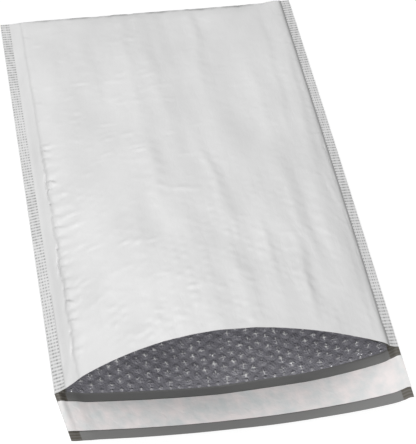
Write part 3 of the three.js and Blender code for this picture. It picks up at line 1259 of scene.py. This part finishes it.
@dataclass
class Lining:
    """The air-bubble film: a folded base sheet with its bubbles inside the bag.

    The cut is the base sheet's flat width and length, in metres. A dome's profile is
    the share of its radius and of its height at each ring, from the foot upwards.
    """

    form: BagForm
    relief: FilmRelief
    place: Frame
    cut: Span = (0.306, 1.016)
    depth: float = 1.0
    thickness: float = 0.35
    mouth_edges: Span = (12.5, 11.5)
    inner_edge: float = 28.0
    edge_turn: Span = (4.0, 26.0)
    bubble_room: float = 2.5
    slack: float = 2.2
    mouth_inset: float = 1.5
    base_grid: tuple[int, int] = (170, 110)
    nose_rows: int = 7
    column_pitch: float = 10.25
    columns_beside: int = 16
    row_pitch: float = 10.8
    row_span: Span = (-1.2, 494.0)
    first_row: float = 3.6
    radius: float = 5.0
    bubble_height: float = 0.5
    segments: int = 12
    profile: tuple[Span, ...] = ((1.0, -0.12), (0.88, 0.36), (0.63, 0.76), (0.3, 0.95))
    dent_shares: tuple[float, ...] = (0.0, 0.5, 1.2, 1.6)
    heights: Span = (0.86, 1.0)
    radii: Span = (0.95, 1.03)
    wobble: float = 0.02
    dent: float = 0.06
    cross: float = 0.08
    seed: int = 23

    def folds(self, u: Array, v: Array, wall: Wall, reach: float) -> Array:
        """Sinking of the lining under the front film: its lowest fold within a reach.

        Args:
            u: Place across, -1 to 1.
            v: Place along, 0 to 1.
            wall: Front or back; the back film is smooth.
            reach: Distance looked over, to each side and along.

        Returns:
            Heights of 0 or less, in millimetres.
        """
        if wall is Wall.BACK:
            return np.zeros_like(u)
        steps = np.linspace(-reach, reach, 3)
        beside = [np.clip(u + across * 2 / self.form.width, -1, 1) for across in steps]
        ahead = [np.clip(v + along / self.form.length, 0, 1) for along in steps]
        near = [self.relief.height(x, y) for x in beside for y in ahead]
        return np.minimum(0, np.min(near, axis=0))

    def edge_at(self, mouth: Array | float, along: Array) -> Array:
        """Distance of the lining from the bag's edge, from the mouth's to the inner one."""
        return mouth + (self.inner_edge - mouth) * smooth(along, *self.edge_turn)

    def sheet_rows(self, v: Array, wall: Wall, depth: float) -> Array:
        """Rows of the base sheet on one wall, in millimetres."""
        u, v = np.meshgrid(np.linspace(-1, 1, self.base_grid[1]), v)
        mouth = np.where(u < 0, *self.mouth_edges) if wall is Wall.BACK else self.inner_edge
        u = u * (1 - self.edge_at(mouth, v * self.form.length) / (self.form.width / 2))
        rows = self.form.point(u, v, wall, self.folds(u, v, wall, self.slack))
        rows[..., 2] -= wall.value * depth
        return rows

    def base(self) -> Piece:
        """Make the folded base sheet.

        Returns:
            The piece.
        """
        start = self.mouth_inset / self.form.length
        v = np.linspace(start, self.form.nose_start, self.base_grid[0])
        angles = np.linspace(0, np.pi, self.nose_rows + 2)[1:-1]
        grids = []
        for depth in (self.depth, self.depth + self.thickness):
            front = self.sheet_rows(v, Wall.FRONT, depth)
            back = self.sheet_rows(v[::-1], Wall.BACK, depth)
            nose = self.form.nose(front[-1], back[0], angles, depth)
            grids.append(np.concatenate([front, nose, back]))
        flat = np.zeros((*grids[0].shape[:2], 2))
        return closed_sheet("bubble_base", Role.LINING, self.place, grids, flat, (BUBBLE_FILM,))

    def lattice(self) -> tuple[Array, Array]:
        """Places of one wall's bubbles, every other column half a row further on.

        Returns:
            Place across, -1 to 1, and distance from the mouth line of each bubble.
        """
        beside = self.columns_beside
        columns = np.arange(-beside, beside + 1) * self.column_pitch
        across, along = np.meshgrid(columns, np.arange(*self.row_span, self.row_pitch))
        along = along + (np.arange(len(columns)) % 2) * self.row_pitch / 2
        u, along = across.ravel() / (self.form.width / 2), along.ravel()
        along = np.maximum(along, self.first_row)
        mouth = np.where(u < 0, *self.mouth_edges) + self.bubble_room
        keep = self.form.edge(u) > self.edge_at(mouth, along)
        return u[keep], along[keep]

    def axes(self, u: Array, v: Array, wall: Wall) -> tuple[Array, Array, Array, Array]:
        """Stand each bubble on the base sheet's inner face, square to its slope.

        Args:
            u: Place across of each bubble, -1 to 1.
            v: Place along of each bubble, 0 to 1.
            wall: The wall that carries them.

        Returns:
            Middle of each foot, and unit vectors to the side, ahead and into the bag.
        """
        sunk = self.folds(u, v, wall, self.radius)

        def surface(du: float, dv: float) -> Array:
            """Points of the sheet's inner face, a small step away."""
            rows = self.form.point(u + du, v + dv, wall, sunk)
            rows[..., 2] -= wall.value * (self.depth + self.thickness)
            return rows

        middle = surface(0, 0)
        side = unit(surface(1 / (self.form.width / 2), 0) - middle)
        normal = unit(np.cross(side, surface(0, 1 / self.form.length) - middle))
        return middle, side, np.cross(normal, side), -wall.value * normal

    def domes(self, u: Array, along: Array, wall: Wall) -> Array:
        """Points of the bubbles: flat-topped domes with a dented, uneven skin.

        Args:
            u: Place across of each bubble, -1 to 1.
            along: Distance of each bubble from the mouth line.
            wall: The wall that carries them.

        Returns:
            For each bubble its rings, then its top and the middle of its foot.
        """
        rng = np.random.default_rng(self.seed + wall.value)
        middle, side, ahead, normal = self.axes(u, along / self.form.length, wall)
        count = len(u)
        shape = (count, len(self.profile), self.segments)
        across, upward = (np.array(part)[None, :, None] for part in zip(*self.profile))
        angle = self.angles()
        height = self.bubble_height * rng.uniform(*self.heights, count)
        radius = self.radius * rng.uniform(*self.radii, count)
        radius = np.minimum(radius, along - self.mouth_inset)
        r = across * radius[:, None, None] * (1 + rng.normal(0, self.wobble, shape))
        dent = rng.normal(0, self.dent, shape)
        turn = rng.uniform(-0.5, 0.5, (count, 1))
        cross = self.cross * np.cos(4 * angle + turn)[:, None, :]
        share = np.array(self.dent_shares)[None, :, None]
        tall = height[:, None, None]
        h = upward * tall + (dent + cross) * share * tall
        rings = (
            middle[:, None, None]
            + (r * np.cos(angle))[..., None] * side[:, None, None]
            + (r * np.sin(angle))[..., None] * ahead[:, None, None]
            + h[..., None] * normal[:, None, None]
        )
        top = middle + (height * rng.uniform(*self.heights, count))[:, None] * normal
        foot = middle + self.profile[0][1] * height[:, None] * normal
        return np.concatenate([rings.reshape(count, -1, 3), top[:, None], foot[:, None]], 1)

    def angles(self) -> Array:
        """Angle of each point of a ring."""
        return np.arange(self.segments) * 2 * np.pi / self.segments

    def dome_faces(self, wall: Wall) -> tuple[Array, Array]:
        """Four-sided and then three-sided faces of one bubble, turned to look out."""
        n, rings = self.segments, len(self.profile)
        k = np.arange(n)
        after = (k + 1) % n
        quads = np.concatenate([
            np.stack([first + k, first + after, first + n + after, first + n + k], -1)
            for first in range(0, (rings - 1) * n, n)
        ])
        last = (rings - 1) * n
        crown = np.stack([last + k, last + after, np.full(n, rings * n)], -1)
        floor = np.stack([after, k, np.full(n, rings * n + 1)], -1)
        caps = np.concatenate([crown, floor])
        return (quads[:, ::-1], caps[:, ::-1]) if wall is Wall.FRONT else (quads, caps)

    def dome_map(self) -> Array:
        """Place of one bubble's points on its own map, with its middle at one half."""
        around = np.stack([np.cos(self.angles()), np.sin(self.angles())], -1)
        across = np.array([share for share, _ in self.profile])[:, None, None]
        rings = 0.5 + 0.45 * across * around
        return np.concatenate([rings.reshape(-1, 2), [[0.5, 0.5]] * 2])

    def bubbles(self, wall: Wall) -> Piece:
        """Make one wall's bubbles as a single mesh.

        Args:
            wall: The wall that carries them.

        Returns:
            The piece.
        """
        points = self.domes(*self.lattice(), wall)
        count, per = points.shape[:2]
        offset = (np.arange(count) * per)[:, None, None]
        faces = [(f[None] + offset).reshape(-1, f.shape[1]) for f in self.dome_faces(wall)]
        corners = np.concatenate([f.ravel() for f in faces])
        slots = np.zeros(sum(len(f) for f in faces))
        points = self.place.place(points.reshape(-1, 3))
        places = self.dome_map()[corners % per]
        name = f"{wall.name.lower()}_bubbles"
        piece = make_object(name, points, faces, [BUBBLE_FILM.material()], slots, places)
        return declare(piece, Role.LINING)

    def build(self) -> list[Piece]:
        """Make the base sheet and the bubbles of both walls.

        Returns:
            The three pieces.
        """
        return [self.base(), self.bubbles(Wall.BACK), self.bubbles(Wall.FRONT)]


@dataclass(frozen=True)
class Lamp:
    """A soft square lamp that looks at the bag."""

    name: str
    azimuth: float
    elevation: float
    distance: float
    size: float
    power: float

    def build(self) -> None:
        """Hang the lamp, turned to the middle of the bag's footprint."""
        data = bpy.data.lights.new(self.name, "AREA")
        data.shape = "SQUARE"
        data.size = self.size
        data.energy = self.power
        azimuth, elevation = math.radians(self.azimuth), math.radians(self.elevation)
        level = math.cos(elevation)
        away = Vector((
            math.sin(azimuth) * level,
            -math.cos(azimuth) * level,
            math.sin(elevation),
        ))
        lamp = link(self.name, data)
        lamp.location = away * self.distance
        lamp.rotation_euler = (-away).to_track_quat("-Z", "Y").to_euler()


@dataclass
class Studio:
    """Floor, lamps, background and the camera at the photograph's viewing angle."""

    lamps: tuple[Lamp, ...]
    ambient: float = 0.45
    floor_half: float = 4.0
    floor_drop: float = 0.0003
    floor_colour: str = "#a8a8a8"
    floor_glow: float = 0.74
    camera_at: tuple[float, float, float] = (-0.1929, -0.6621, 0.9894)
    azimuth: float = -18.24
    elevation: float = 56.22
    roll: float = 8.386
    focal_pixels: float = 1090.0
    image_height: float = 444.0
    sensor: float = 36.0

    def floor(self) -> None:
        """Make the pale floor.

        To the camera it adds a glow to what it scatters, so that it reads white and
        still keeps the bag's shadow. The glow lights nothing.
        """
        s, z = self.floor_half, -self.floor_drop
        mesh = bpy.data.meshes.new("floor")
        mesh.from_pydata([(-s, -s, z), (s, -s, z), (s, s, z), (-s, s, z)], [], [(0, 1, 2, 3)])
        made, tree = new_material("matt_paper_floor")
        glow = calc(tree, "MULTIPLY", self.seen(tree), self.floor_glow)
        matt = add_node(tree, "ShaderNodeBsdfDiffuse", {"Color": linear(self.floor_colour)})
        light = add_node(tree, "ShaderNodeEmission", {"Strength": glow})
        both = add_node(tree, "ShaderNodeAddShader", {0: matt.outputs[0], 1: light.outputs[0]})
        add_node(tree, "ShaderNodeOutputMaterial", {"Surface": both.outputs[0]})
        mesh.materials.append(made)
        link("floor", mesh)

    def seen(self, tree: Tree) -> Socket:
        """Socket that is 1 for rays from the camera, in a mirror or through glass."""
        path = add_node(tree, "ShaderNodeLightPath", {}).outputs
        mirrored = calc(tree, "MAXIMUM", path["Is Camera Ray"], path["Is Glossy Ray"])
        return calc(tree, "MAXIMUM", mirrored, path["Is Transmission Ray"])

    def world(self) -> None:
        """White to the camera, and a plain soft light to everything else."""
        world = bpy.data.worlds.new("studio")
        world.use_nodes = True
        tree = world.node_tree
        tree.nodes.clear()
        soft, shown = (
            add_node(tree, "ShaderNodeBackground", {"Color": (1, 1, 1, 1), "Strength": strength})
            for strength in (self.ambient, 1.0)
        )
        inputs = {0: self.seen(tree), 1: soft.outputs[0], 2: shown.outputs[0]}
        both = add_node(tree, "ShaderNodeMixShader", inputs)
        add_node(tree, "ShaderNodeOutputWorld", {"Surface": both.outputs[0]})
        bpy.context.scene.world = world

    def camera(self) -> None:
        """Stand the camera where the photograph was taken from."""
        data = bpy.data.cameras.new("camera")
        data.sensor_width = self.sensor
        data.lens = self.focal_pixels / self.image_height * self.sensor
        data.clip_start, data.clip_end = 0.01, 50.0
        turns = ((self.azimuth, "Z"), (90 - self.elevation, "X"), (self.roll, "Z"))
        place = Matrix.Translation(Vector(self.camera_at))
        for angle, axis in turns:
            place = place @ Matrix.Rotation(math.radians(angle), 4, axis)
        camera = link("camera", data)
        camera.matrix_world = place
        bpy.context.scene.camera = camera

    def build(self) -> None:
        """Set up the whole studio."""
        self.camera()
        self.floor()
        self.world()
        for lamp in self.lamps:
            lamp.build()
        bpy.context.scene.view_settings.view_transform = "Standard"


LAMPS = (Lamp("key", -126, 60, 2.3, 1.2, 15.2), Lamp("front", -8, 40, 1.9, 0.16, 14.0))
GATHERS = (
    Pleats(Side.LEFT, 3, 12, 310, (9, 20), (7, 19), (0.7, 2.8), (1.4, 2.8), 1.1),
    Pleats(Side.LEFT, 5, 310, 490, (12, 34), (8, 20), (0.2, 0.8), (1.6, 2.6)),
    Pleats(Side.RIGHT, 9, 14, 490, (14, 34), (12, 26), (0.3, 1.0)),
)


def main() -> None:
    """Build the studio and the bag."""
    logging.basicConfig(level=logging.INFO, format="%(name)s %(message)s")
    Studio(LAMPS).build()

    form = BagForm()
    _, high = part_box("outer_film")
    place = Frame(mouth_y=high.y / MM - form.length)
    relief = FilmRelief(form, GATHERS)
    web = FilmWeb(form, relief, place)
    front, back = web.build()
    for film, wall in ((front, Wall.FRONT), (back, Wall.BACK)):
        welds = [SideWeld(form, place, side).build(wall) for side in Side]
        web.cut(wall)
    flap = Flap(form, place).build()
    stripe = AdhesiveStripe(form, place).build()
    cover = CoverStrip(form, place)
    cover.build()
    lining = Lining(form, relief, place)
    base, *bubbles = lining.build()
    for piece in bubbles:
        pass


if __name__ == "__main__":
    main()
